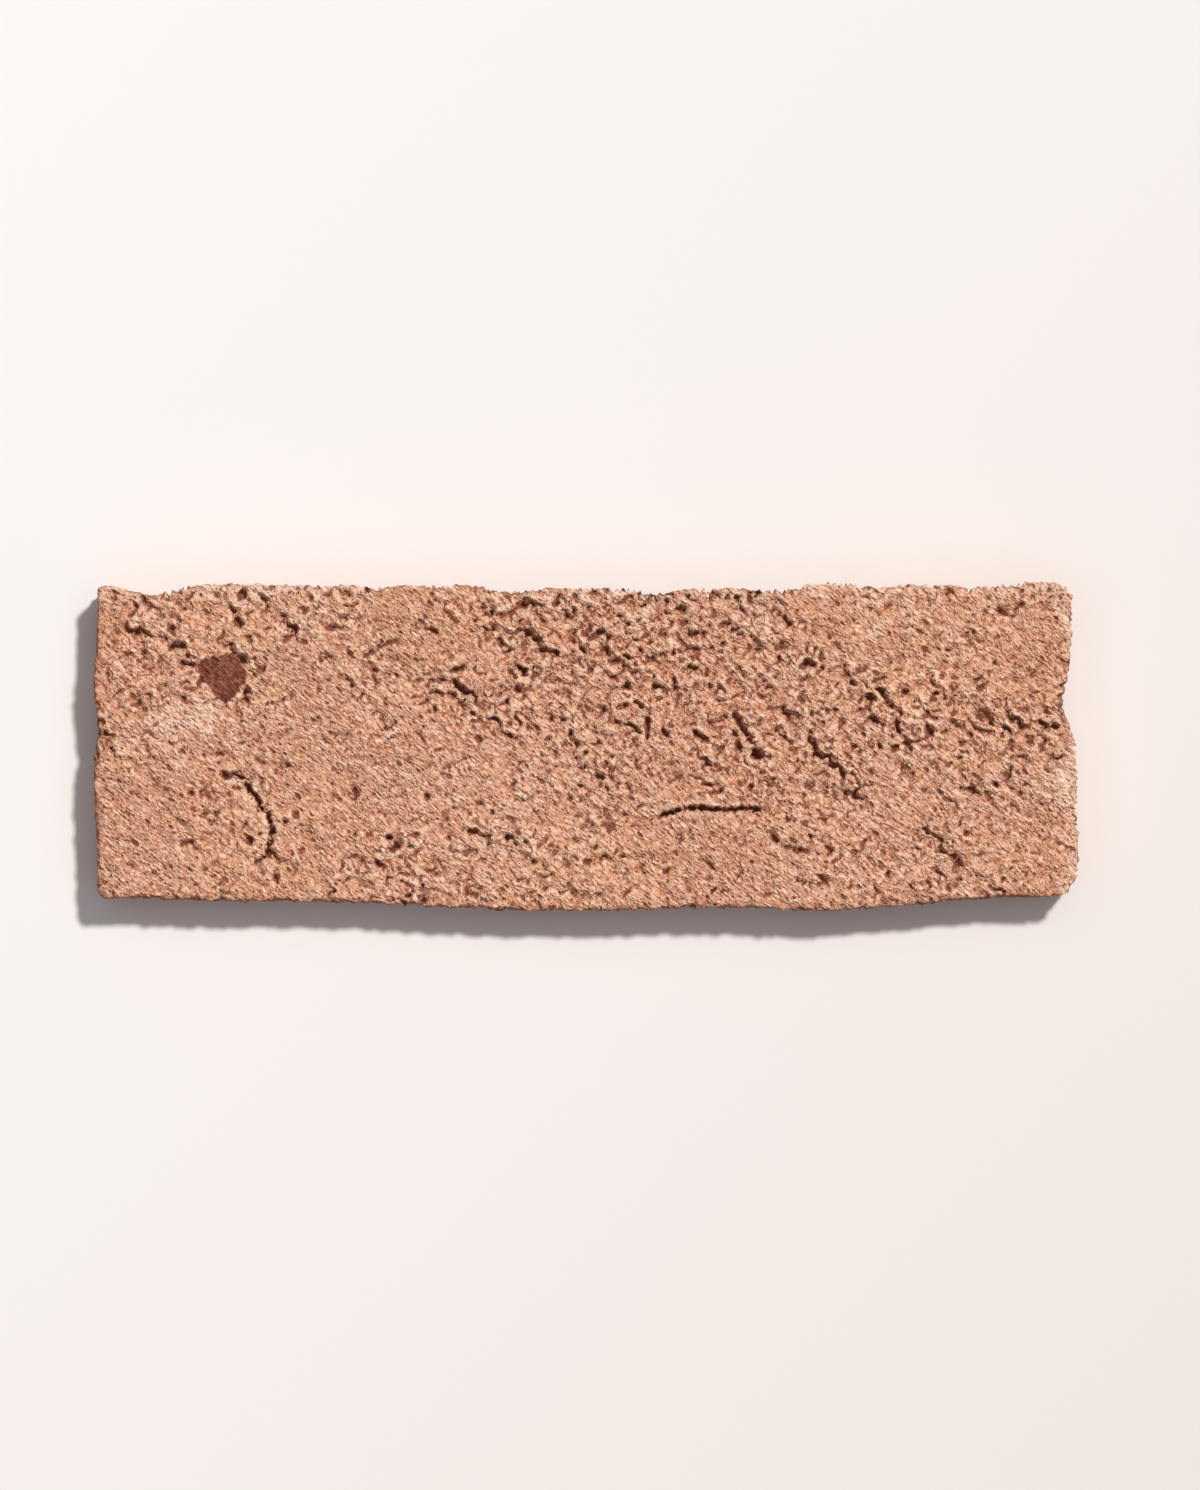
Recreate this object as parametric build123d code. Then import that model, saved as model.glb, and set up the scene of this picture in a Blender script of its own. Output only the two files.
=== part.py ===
from build123d import *
import math
import os

# A thin facing tile of fired clay, hand moulded and sawn from a brick's long face.
# It lies on its flat sawn back: X runs along its length, Y across it, and Z up through its face.
# All lengths are millimetres. A place on the face is (u, v), from -1 to 1 along and across it.

# Overall sizes of the plain rectangle that the uneven outline follows
length = 205.0
width = 67.0
thickness = 15.0

# The four sides lean in towards the sawn back by this much, and their waves fade to this share
side_draft = 0.9
back_waviness = 0.6
back_arris = 0.4

# The worn edge round the face: its drop down the sides, and its run inwards for each mm of rise
face_arris = 1.1
arris_run = 1.6

# Plan radius of each corner, seen from above
corner_back_left = 0.8
corner_back_right = 3.2
corner_front_right = 5.4
corner_front_left = 2.2

# How far the marks go into the face, and how far a crack or fold opens
crack_depth = 2.6
crack_gap = 1.3
fold_depth = 1.0
fold_gap = 1.5
scar_depth = 0.7

# How steeply the walls of a mark stand, in degrees from upright
crack_lean = 8.0
pit_lean = 20.0
scar_lean = 50.0

# Spacing of the grid that the undulating face is drawn through
face_grid_step = 8.0

# Outward offset of each side from the plain rectangle: (place along the side from -1 to 1, offset)
back_side = [
    (-0.96, -0.3), (-0.93, -0.9), (-0.885, -2.1), (-0.85, -1.4), (-0.81, -0.2), (-0.72, 0.4),
    (-0.62, 0.1), (-0.48, 0.1), (-0.38, -0.3), (-0.29, 0.0), (-0.215, -0.3), (-0.16, -1.3),
    (-0.10, -0.8), (-0.02, -0.6), (0.08, -0.6), (0.15, -1.6), (0.20, -0.9), (0.30, -0.6),
    (0.39, -0.9), (0.47, 0.4), (0.55, 0.3), (0.60, -0.3), (0.67, 0.2), (0.79, -0.3), (0.88, 0.5),
]
right_side = [
    (0.74, -1.5), (0.55, -2.0), (0.40, -2.6), (0.28, -3.8), (0.18, -2.9), (0.06, -1.2),
    (-0.12, -0.3), (-0.28, -0.5), (-0.40, -0.5), (-0.52, 0.0), (-0.66, -0.2),
]
front_side = [
    (0.86, -2.0), (0.77, -1.5), (0.67, -0.5), (0.57, 0.4), (0.48, 0.8), (0.36, 0.3), (0.20, 0.2),
    (0.07, 0.7), (-0.03, 0.8), (-0.20, 0.5), (-0.34, -0.3), (-0.50, -1.0), (-0.68, -1.2),
    (-0.80, -1.3), (-0.90, -1.8),
]
left_side = [
    (-0.76, -0.9), (-0.55, -0.5), (-0.35, -0.3), (-0.10, -0.2), (0.10, -0.9), (0.22, -0.6),
    (0.34, 0.0), (0.50, -0.2), (0.66, -0.6), (0.86, -0.8),
]

# Broad swells and hollows of the hand-struck face: (u, v, radius, height)
swells = [
    (-0.70, 0.10, 16.0, -0.55), (-0.88, -0.45, 20.0, 0.35), (-0.35, 0.55, 18.0, 0.30),
    (-0.30, -0.55, 22.0, -0.25), (0.02, 0.15, 20.0, -0.30), (0.22, 0.55, 14.0, 0.30),
    (0.33, -0.62, 15.0, 0.45), (0.34, 0.02, 10.0, -0.40), (0.62, 0.20, 18.0, 0.25),
    (0.72, -0.45, 20.0, -0.20), (0.93, 0.45, 14.0, 0.30),
]

# Cracks that opened in drying and firing: points along each
cracks = [
    [
        (-0.747, -0.105), (-0.738, -0.170), (-0.727, -0.203), (-0.708, -0.178), (-0.694, -0.215),
        (-0.669, -0.325), (-0.644, -0.435), (-0.640, -0.540), (-0.646, -0.620), (-0.655, -0.700),
        (-0.668, -0.735), (-0.653, -0.785),
    ],
    [
        (0.128, -0.460), (0.154, -0.430), (0.192, -0.397), (0.235, -0.387), (0.280, -0.398),
        (0.335, -0.390), (0.374, -0.400),
    ],
]

# Shallow creases where folds of clay met in the mould: points along each
folds = [
    [(0.293, 0.227), (0.305, 0.167), (0.322, 0.078), (0.336, -0.040), (0.345, -0.080)],
    [(0.366, -0.545), (0.390, -0.605), (0.418, -0.648), (0.460, -0.675)],
    [(-0.326, 0.355), (-0.313, 0.385), (-0.296, 0.405)],
    [(-0.280, 0.445), (-0.268, 0.400), (-0.242, 0.345), (-0.232, 0.300)],
    [(-0.273, 0.920), (-0.262, 0.870), (-0.250, 0.815)],
    [(-0.197, 0.810), (-0.170, 0.815), (-0.150, 0.840), (-0.135, 0.870)],
    [(0.282, -0.530), (0.300, -0.590), (0.315, -0.660)],
    [(-0.790, -0.425), (-0.773, -0.460), (-0.750, -0.450), (-0.738, -0.400)],
    [(-0.135, 0.868), (-0.114, 0.880), (-0.094, 0.861), (-0.078, 0.818)],
    [(-0.199, 0.750), (-0.187, 0.731), (-0.175, 0.682)],
    [(-0.155, 0.688), (-0.135, 0.719), (-0.114, 0.694), (-0.094, 0.651)],
    [(-0.029, 0.651), (-0.013, 0.614), (0.003, 0.552)],
    [(0.048, 0.453), (0.072, 0.353), (0.096, 0.335)],
    [(0.112, 0.521), (0.165, 0.564), (0.230, 0.601)],
    [(-0.159, 0.347), (-0.135, 0.341), (-0.106, 0.347)],
    [(-0.463, 0.576), (-0.434, 0.576), (-0.413, 0.620), (-0.373, 0.632)],
    [(0.019, -0.241), (0.035, -0.266), (0.060, -0.272)],
    [(-0.519, -0.873), (-0.489, -0.823), (-0.463, -0.836), (-0.438, -0.898)],
    [(-0.610, -0.699), (-0.588, -0.662), (-0.572, -0.638)],
    [(-0.147, -0.600), (-0.135, -0.662), (-0.127, -0.712)],
    [(-0.410, -0.328), (-0.386, -0.315), (-0.357, -0.297)],
    [(0.418, -0.055), (0.438, -0.068), (0.463, -0.055), (0.481, -0.031)],
    [(0.412, -0.823), (0.442, -0.848), (0.477, -0.861)],
    [(0.517, -0.297), (0.533, -0.359), (0.566, -0.390), (0.578, -0.340)],
    [(0.627, 0.775), (0.639, 0.725), (0.659, 0.738)],
    [(-0.681, 0.415), (-0.657, 0.440), (-0.625, 0.477)],
    [(-0.657, 0.254), (-0.625, 0.267), (-0.596, 0.304)],
    [(-0.904, 0.502), (-0.884, 0.453), (-0.863, 0.428)],
]

# Pits left by burnt-out straw and grit: (u, v, across, along, turn in degrees, depth)
pits = [
    (0.123, 0.110, 1.4, 4.9, 0.0, 2.0),
    (-0.710, 0.750, 2.0, 2.9, 10.0, 1.7),
    (-0.036, 0.020, 0.9, 2.8, 12.0, 1.5),
    (-0.799, -0.298, 0.9, 2.0, 60.0, 1.2),
    (-0.308, -0.235, 1.5, 1.7, 0.0, 1.2),
    (0.425, 0.410, 2.2, 3.0, 45.0, 1.0),
    (0.900, 0.110, 1.6, 2.2, 30.0, 1.2),
    (0.735, -0.240, 1.5, 2.0, 90.0, 1.1),
    (0.600, -0.500, 2.4, 3.0, 70.0, 1.0),
    (0.868, 0.885, 1.3, 1.4, 0.0, 1.0),
    (0.022, -0.190, 1.8, 2.6, 75.0, 1.0),
    (0.056, 0.527, 2.2, 3.4, 45.0, 0.9),
    (0.181, 0.762, 2.6, 2.2, 0.0, 0.8),
    (0.270, 0.651, 2.0, 3.0, 20.0, 0.9),
    (0.645, 0.329, 1.3, 1.9, 40.0, 0.9),
    (0.776, 0.062, 1.2, 2.4, 60.0, 1.0),
    (0.380, -0.563, 1.8, 2.6, 40.0, 1.0),
    (-0.519, 0.725, 1.6, 2.6, 60.0, 0.9),
    (0.205, -0.873, 2.0, 2.6, 20.0, 0.8),
    (0.768, -0.551, 1.2, 1.5, 0.0, 1.0),
    (-0.467, -0.291, 1.5, 2.6, 30.0, 0.9),
    (0.841, 0.824, 1.4, 2.4, 60.0, 1.1),
]

# The burnt patch where a pebble broke away: points round its rim
scar_rim = [
    (-0.792, 0.503), (-0.760, 0.552), (-0.718, 0.582), (-0.697, 0.505), (-0.687, 0.443),
    (-0.705, 0.335), (-0.734, 0.266), (-0.757, 0.316), (-0.785, 0.420),
]

# No part of the face is higher than this, so every cutter starts here
crest = thickness + sum(max(rise, 0) for u, v, radius, rise in swells)


def place(u, v, height=0.0):
    return Vector(u * length / 2, v * width / 2, height)


def outline(height, inset, waviness=1.0):
    # The tile's plan at one height: four uneven sides and the arcs of its four corners
    half_x = length / 2 - inset
    half_y = width / 2 - inset
    sides = [
        [Vector(t * half_x, half_y + waviness * out) for t, out in back_side],
        [Vector(half_x + waviness * out, t * half_y) for t, out in right_side],
        [Vector(t * half_x, -half_y - waviness * out) for t, out in front_side],
        [Vector(-half_x - waviness * out, t * half_y) for t, out in left_side],
    ]
    along = [Vector(1, 0), Vector(0, -1), Vector(-1, 0), Vector(0, 1)]
    radii = [corner_back_right, corner_front_right, corner_front_left, corner_back_left]
    corners = [
        Vector(sides[1][0].X, sides[0][-1].Y),
        Vector(sides[1][-1].X, sides[2][0].Y),
        Vector(sides[3][0].X, sides[2][-1].Y),
        Vector(sides[3][-1].X, sides[0][0].Y),
    ]
    edges = []
    for i, side in enumerate(sides):
        start = corners[i - 1] + along[i] * radii[i - 1]
        finish = corners[i] - along[i] * radii[i]
        turned = corners[i] + along[(i + 1) % 4] * radii[i]
        edges.append(Spline(start, *side, finish))
        edges.append(TangentArc(finish, turned, tangent=along[i]))
    return Wire(edges).moved(Location((0, 0, height)))


def tile_block():
    # From the sawn back up the leaning sides, over the worn edge and on to the crest
    shoulder = thickness - face_arris
    turn = thickness - face_arris * 0.3
    turn_inset = face_arris * 0.3
    return Solid.make_loft(
        [
            outline(0, side_draft + back_arris, back_waviness),
            outline(back_arris, side_draft, back_waviness),
            outline(shoulder, 0),
            outline(turn, turn_inset),
            outline(crest, turn_inset + (crest - turn) * arris_run),
        ],
        ruled=True,
    )


def face_height(x, y):
    height = thickness
    for u, v, radius, rise in swells:
        centre = place(u, v)
        distance = math.hypot(x - centre.X, y - centre.Y)
        height += rise * math.exp(-((distance / radius) ** 2))
    return height


def above_face():
    # Everything over the undulating face, as one block to take away
    columns = math.ceil(length / face_grid_step) + 4
    rows = math.ceil(width / face_grid_step) + 4
    grid = []
    for i in range(columns):
        x = (i - (columns - 1) / 2) * face_grid_step
        ys = [(j - (rows - 1) / 2) * face_grid_step for j in range(rows)]
        grid.append([Vector(x, y, face_height(x, y)) for y in ys])
    face = Face.make_surface_from_array_of_points(grid)
    return Solid.extrude(face, Vector(0, 0, thickness))


def ribbon(path, widest, height):
    # A thin closed shape along a path, widest at its middle
    left = []
    right = []
    for i, point in enumerate(path):
        before = path[max(i - 1, 0)]
        after = path[min(i + 1, len(path) - 1)]
        across = (after - before).normalized().rotate(Axis.Z, 90)
        share = 0.25 + 0.75 * math.sin(math.pi * i / (len(path) - 1))
        left.append(point + across * widest * share / 2 + Vector(0, 0, height))
        right.append(point - across * widest * share / 2 + Vector(0, 0, height))
    return Wire.make_polygon(left + right[::-1])


def groove(points, gap, depth, lean):
    # A crack or crease, open to the face and closing to a narrow root
    path = [place(u, v) for u, v in points]
    flare = 2 * math.tan(math.radians(lean))
    root = [path[0] * 0.6 + path[1] * 0.4, *path[1:-1], path[-1] * 0.6 + path[-2] * 0.4]
    mouth = ribbon(path, gap + (crest - thickness) * flare, crest)
    floor = ribbon(root, max(gap - depth * flare, gap / 5), thickness - depth)
    return Solid.make_loft([mouth, floor], ruled=True)


def pit(u, v, across, along, turn, depth):
    flare = math.tan(math.radians(pit_lean))
    levels = []
    for height in (crest, thickness - depth):
        grow = (height - thickness) * flare
        plane = Plane(origin=place(u, v, height)).rotated((0, 0, turn))
        levels.append(
            Wire(
                Edge.make_ellipse(
                    max(across / 2 + grow, across / 5), max(along / 2 + grow, along / 5), plane
                )
            )
        )
    return Solid.make_loft(levels, ruled=True)


def scar():
    # A shallow bowl with a splined rim, wider at the face than at its floor
    rim = [place(u, v) for u, v in scar_rim]
    centre = sum(rim, Vector()) / len(rim)
    flare = math.tan(math.radians(scar_lean))
    levels = []
    for height in (crest, thickness - scar_depth):
        grow = (height - thickness) * flare
        around = [point + (point - centre).normalized() * grow for point in rim]
        levels.append(Wire(Spline(*around, periodic=True)).moved(Location((0, 0, height))))
    return Solid.make_loft(levels, ruled=True)


def face_marks():
    marks = [groove(points, crack_gap, crack_depth, crack_lean) for points in cracks]
    marks += [groove(points, fold_gap, fold_depth, scar_lean / 2) for points in folds]
    marks += [pit(*sizes) for sizes in pits]
    marks.append(scar())
    return marks


def tile():
    solid = tile_block().cut(above_face()).cut(*face_marks())
    box = solid.bounding_box()
    return solid.moved(Location((-box.center().X, -box.center().Y, -box.min.Z)))


os.makedirs("parts", exist_ok=True)
export_step(tile(), "parts/facing_tile.step")
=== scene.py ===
import math
from functools import partial
from types import SimpleNamespace
import bpy
import numpy as np
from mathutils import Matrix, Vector
from mathutils.bvhtree import BVHTree


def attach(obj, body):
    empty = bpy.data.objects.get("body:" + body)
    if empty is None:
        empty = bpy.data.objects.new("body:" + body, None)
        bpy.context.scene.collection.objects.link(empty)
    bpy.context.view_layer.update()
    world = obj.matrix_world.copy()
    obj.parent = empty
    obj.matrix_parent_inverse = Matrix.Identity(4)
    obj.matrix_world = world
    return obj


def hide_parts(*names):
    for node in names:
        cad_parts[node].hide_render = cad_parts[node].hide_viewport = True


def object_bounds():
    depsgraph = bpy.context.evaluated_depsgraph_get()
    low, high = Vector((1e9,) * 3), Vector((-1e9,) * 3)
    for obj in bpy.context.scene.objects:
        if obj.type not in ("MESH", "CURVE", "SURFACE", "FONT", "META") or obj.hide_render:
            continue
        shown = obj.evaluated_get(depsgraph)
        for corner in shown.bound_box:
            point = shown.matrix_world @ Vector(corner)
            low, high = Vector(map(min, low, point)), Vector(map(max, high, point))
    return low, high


# A hand-moulded facing tile of fired clay, lying face up on a pale studio floor.
# Sizes are millimetres on the tile unless a note says otherwise, and Blender's own are metres.

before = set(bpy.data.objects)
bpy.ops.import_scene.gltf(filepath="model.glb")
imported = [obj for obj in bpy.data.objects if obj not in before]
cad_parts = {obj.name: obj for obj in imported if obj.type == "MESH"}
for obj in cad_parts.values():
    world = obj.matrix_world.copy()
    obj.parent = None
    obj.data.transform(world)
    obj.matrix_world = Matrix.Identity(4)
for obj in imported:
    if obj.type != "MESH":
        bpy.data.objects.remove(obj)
cadLow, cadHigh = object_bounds()
mm = 0.001

# Where the photograph shows the tile
photo = {
    "width": 1200,              # pixels
    "height": 1490,
    "tileX": 586.5,             # the middle of the tile's box, in pixels
    "tileY": 746.2,
    "mmPerPixel": 0.2075,
}


def fromPhoto(x, y):
    # a pixel of the photograph as a place on the face, from the tile's middle
    scale = photo["mmPerPixel"]
    return (x - photo["tileX"]) * scale, (photo["tileY"] - y) * scale


def linear(hexColour):
    # an sRGB hex colour as linear RGBA
    values = [int(hexColour[i:i + 2], 16) / 255 for i in (1, 3, 5)]
    return [v / 12.92 if v <= 0.04045 else ((v + 0.055) / 1.055) ** 2.4 for v in values] + [1.0]


def addNode(tree, kind, inputs=(), **settings):
    # one node: its settings, then its inputs in their order or by name, each linked to an output or given
    # a value. Hands back its first output; the others are that one's node.outputs.
    node = tree.nodes.new(kind)
    for name, value in settings.items():
        setattr(node, name, value)
    sockets = [socket for socket in node.inputs if socket.enabled]
    for name, value in inputs.items() if isinstance(inputs, dict) else enumerate(inputs):
        socket = node.inputs[name] if isinstance(name, str) else sockets[name]
        if isinstance(value, bpy.types.NodeSocket):
            tree.links.new(value, socket)
        else:
            socket.default_value = linear(value) if isinstance(value, str) else value
    return next((socket for socket in node.outputs if socket.enabled), None)


def newMaterial(name):
    # a material that has no nodes yet, and what adds them to it
    material = bpy.data.materials.new(name)
    material.use_nodes = True
    material.node_tree.nodes.clear()
    return material, partial(addNode, material.node_tree)


def perMetre(size):
    # a texture's scale for a pattern that repeats about every so many millimetres
    return 1000.0 / size


def between(limits, share):
    return limits[0] + (limits[1] - limits[0]) * share


# Camera and light

studio = {
    "cameraHeight": 4000.0,     # a long lens, looking straight down
    "sunAzimuth": 51.3,         # degrees from +X towards +Y: the picture's upper right
    "worldShare": 0.08,         # each share is of the light on a level surface
    "worldColour": "#FFE6D6",
    # painted light: the card's colour falls off across the picture, in place of light that fades
    "floorBright": "#FCFAF6",   # the sweep at the picture's upper left
    "floorDim": "#EFE8E2",      # and at its lower right
    "toneFall": (-260.0, 280.0),        # where across the picture, as x - y, it goes from one to the other
    "floorSize": 8000.0,
    "floorDrop": 0.05,          # below the back, so that the two planes don't meet
}

# Far lamps. Each lights one object, so that the card and the clay can be lit as the photograph shows each:
# the clay is raked from lower down, and the fill in its hollows is warmed by the clay around them.
lamps = {
    "cardSun": {"lit": "card", "up": 61.7, "wide": 5.0, "share": 0.70, "colour": "#FFFDFB"},
    "cardFill": {"lit": "card", "up": 90.0, "wide": 90.0, "share": 0.265, "colour": "#F1F3FF"},
    "claySun": {"lit": "clay", "up": 42.0, "wide": 2.0, "share": 0.81, "colour": "#FFFDFA"},
    "clayFill": {"lit": "clay", "up": 90.0, "wide": 90.0, "share": 0.22, "colour": "#FFDCC4"},
}


def makeCamera():
    data = bpy.data.cameras.new("camera")
    camera = bpy.data.objects.new("camera", data)
    bpy.context.scene.collection.objects.link(camera)
    x, y = fromPhoto(photo["width"] / 2, photo["height"] / 2)
    height = cadHigh.z / mm + studio["cameraHeight"]
    camera.location = (x * mm, y * mm, height * mm)
    tall = photo["height"] * photo["mmPerPixel"]        # the frame's long side at the face
    data.sensor_width = 36.0
    data.lens = data.sensor_width * studio["cameraHeight"] / tall
    data.clip_end = 20.0
    bpy.context.scene.camera = camera


def makeLamp(name, lamp, litObject):
    # everything still throws its shadow on the one object that the lamp lights
    data = bpy.data.lights.new(name, "SUN")
    sun = bpy.data.objects.new(name, data)
    bpy.context.scene.collection.objects.link(sun)
    azimuth = math.radians(studio["sunAzimuth"])
    elevation = math.radians(lamp["up"])
    toSun = Vector((
        math.cos(azimuth) * math.cos(elevation),
        math.sin(azimuth) * math.cos(elevation),
        math.sin(elevation),
    ))
    sun.rotation_euler = toSun.to_track_quat("Z", "Y").to_euler()
    data.angle = math.radians(lamp["wide"])
    data.color = linear(lamp["colour"])[:3]
    data.energy = math.pi * lamp["share"] / math.sin(elevation)
    lit = bpy.data.collections.new(name + "Lit")
    lit.objects.link(litObject)
    sun.light_linking.receiver_collection = lit


def makeWorld():
    # an even fill for the tile, and a pale studio for whatever looks past the floor
    world = bpy.data.worlds.new("studioFill")
    bpy.context.scene.world = world
    world.use_nodes = True
    world.node_tree.nodes.clear()
    add = partial(addNode, world.node_tree)
    fill = add("ShaderNodeBackground", (studio["worldColour"], studio["worldShare"]))
    seen = add("ShaderNodeBackground", (studio["floorDim"], 1.0))
    ray = add("ShaderNodeLightPath").node.outputs
    direct = ray["Is Camera Ray"]
    for other in ("Is Glossy Ray", "Is Transmission Ray"):
        direct = add("ShaderNodeMath", (direct, ray[other]), operation="MAXIMUM")
    mix = add("ShaderNodeMixShader", (direct, fill, seen))
    add("ShaderNodeOutputWorld", (mix,))


def paperSweep():
    # matt card: no sheen, and a tone that falls off across the picture: painted light fall-off, bright at
    # the upper left and dim at the lower right
    material, add = newMaterial("paperSweep")
    place = add("ShaderNodeNewGeometry").node.outputs["Position"]
    axis = add("ShaderNodeSeparateXYZ", (place,)).node.outputs
    across = add("ShaderNodeMath", (axis["X"], axis["Y"]), operation="SUBTRACT")
    start, end = studio["toneFall"]
    fall = add("ShaderNodeMapRange", (across, start * mm, end * mm))
    tone = add("ShaderNodeMix", (fall, studio["floorBright"], studio["floorDim"]), data_type="RGBA")
    shader = add("ShaderNodeBsdfDiffuse", {"Color": tone, "Roughness": 0.0})
    add("ShaderNodeOutputMaterial", (shader,))
    return material


def makeFloor():
    half = studio["floorSize"] / 2 * mm
    z = cadLow.z - studio["floorDrop"] * mm
    mesh = bpy.data.meshes.new("floor")
    corners = [(-half, -half, z), (half, -half, z), (half, half, z), (-half, half, z)]
    mesh.from_pydata(corners, [], [(0, 1, 2, 3)])
    mesh.materials.append(paperSweep())
    floor = bpy.data.objects.new("floor", mesh)
    bpy.context.scene.collection.objects.link(floor)
    return floor


# The relief of the face, worked out on a fine grid of heights

grid = {
    "step": 0.2,
    "margin": 3.0,              # the grid reaches this far past the tile
}


def reliefGrid():
    # x and y of every grid point, row by row from the front edge
    reachX = cadHigh.x / mm + grid["margin"]
    reachY = cadHigh.y / mm + grid["margin"]
    x = np.arange(-reachX, reachX + grid["step"], grid["step"])
    y = np.arange(-reachY, reachY + grid["step"], grid["step"])
    return np.meshgrid(x, y)


def softNoise(shape, step, widest, finest, seed, stretch=1.0, turn=0.0):
    # noise with features between two sizes, drawn out along one direction where stretched
    white = np.random.default_rng(seed).standard_normal(shape)
    fy = np.fft.fftfreq(shape[0], step)[:, None]
    fx = np.fft.rfftfreq(shape[1], step)[None, :]
    angle = math.radians(turn)
    along = (fx * math.cos(angle) + fy * math.sin(angle)) * stretch
    across = fy * math.cos(angle) - fx * math.sin(angle)
    frequency = np.hypot(along, across)
    band = np.exp(-(frequency * finest) ** 2) - np.exp(-(frequency * widest) ** 2)
    field = np.fft.irfft2(np.fft.rfft2(white) * band, shape)
    return field / field.std()


def blurred(field, step, size):
    fy = np.fft.fftfreq(field.shape[0], step)[:, None]
    fx = np.fft.rfftfreq(field.shape[1], step)[None, :]
    soft = np.exp(-2 * (math.pi * size) ** 2 * (fx ** 2 + fy ** 2))
    return np.fft.irfft2(np.fft.rfft2(field) * soft, field.shape)


def eased(value, low, high):
    t = np.clip((value - low) / (high - low), 0.0, 1.0)
    return t * t * (3 - 2 * t)


def clayCells(x, y, size, seed, shed=0.0):
    # irregular plates: distance to the nearest middle and to the next, and each plate's own lift and tilt;
    # with shed, every plate also rises towards -y and ends there in a step, like a shingle
    table = np.random.default_rng(seed).random((64, 64, 5))
    gx, gy = x / size, y / size
    column, row = np.floor(gx).astype(int), np.floor(gy).astype(int)
    near = np.full(x.shape, 9.0)
    second = near.copy()
    lift = np.zeros(x.shape)
    for dx in (-1, 0, 1):
        for dy in (-1, 0, 1):
            cell = table[(column + dx) % 64, (row + dy) % 64]
            ox = column + dx + cell[..., 0] - gx
            oy = row + dy + cell[..., 1] - gy
            distance = np.hypot(ox, oy)
            own = cell[..., 2] - 0.5 + 1.2 * ((cell[..., 3] - 0.5) * ox + (cell[..., 4] - 0.5) * oy)
            own += shed * (0.3 + 1.4 * cell[..., 4]) * oy
            closer = distance < near
            second = np.where(closer, near, np.minimum(second, distance))
            lift = np.where(closer, own, lift)
            near = np.where(closer, distance, near)
    return near, second, lift


def spots(x, y, places):
    # soft round zones: pixel x, pixel y and radius in pixels, and how strong each is
    field = np.zeros(x.shape)
    for px, py, radius, strength in places:
        cx, cy = fromPhoto(px, py)
        away = np.hypot(x - cx, y - cy) / (radius * photo["mmPerPixel"])
        field += strength * np.exp(-away ** 2)
    return field


# Where the photograph shows the face smoother, rougher, paler or more orange: pixels, radius, strength
zones = {
    "smooth": [
        (420, 622, 42, 1.0), (875, 640, 34, 1.0), (940, 660, 30, 0.7), (1052, 640, 36, 1.0),
        (762, 862, 34, 1.0), (150, 800, 60, 0.6), (130, 860, 50, 0.7), (330, 790, 60, 0.6),
        (430, 760, 50, 0.5), (700, 850, 50, 0.5), (1040, 800, 50, 0.5), (900, 800, 40, 0.4),
        (200, 725, 26, 0.7), (300, 690, 40, 0.4), (560, 800, 40, 0.3),
    ],
    "rough": [
        (530, 640, 60, 0.8), (640, 640, 70, 0.9), (740, 640, 60, 0.9), (860, 720, 60, 0.9),
        (960, 720, 60, 1.0), (1020, 740, 40, 0.9), (600, 760, 60, 0.5), (720, 740, 50, 0.7),
        (470, 700, 40, 0.6), (140, 640, 40, 0.5), (200, 800, 30, 0.4), (820, 760, 60, 0.6),
        (560, 890, 60, 0.3), (920, 870, 60, 0.4), (400, 880, 50, 0.4),
    ],
    "ochre": [
        (425, 615, 60, 1.0), (880, 640, 60, 0.9), (1050, 650, 50, 0.8), (1055, 860, 60, 0.6),
        (260, 880, 80, 0.5), (620, 890, 70, 0.5), (230, 620, 50, 0.4), (980, 700, 50, 0.4),
        (340, 800, 50, 0.3), (760, 860, 50, 0.3),
    ],
    "rosy": [
        (560, 600, 60, 0.8), (650, 650, 60, 0.6), (730, 700, 50, 0.8), (740, 780, 50, 0.7),
        (200, 800, 40, 0.5), (110, 660, 40, 0.6), (700, 820, 50, 0.6), (1000, 730, 50, 0.5),
        (470, 690, 40, 0.4),
    ],
    "dustAndEdgeHighlight": [
        (196, 728, 26, 1.0), (170, 715, 24, 0.6), (215, 700, 14, 0.5), (300, 620, 30, 0.3),
        (420, 790, 40, 0.3), (520, 840, 60, 0.35), (640, 596, 40, 0.6), (880, 592, 60, 0.4),
        (1070, 780, 24, 0.6), (1068, 690, 20, 0.5), (560, 596, 30, 0.5),
    ],
}

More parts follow.
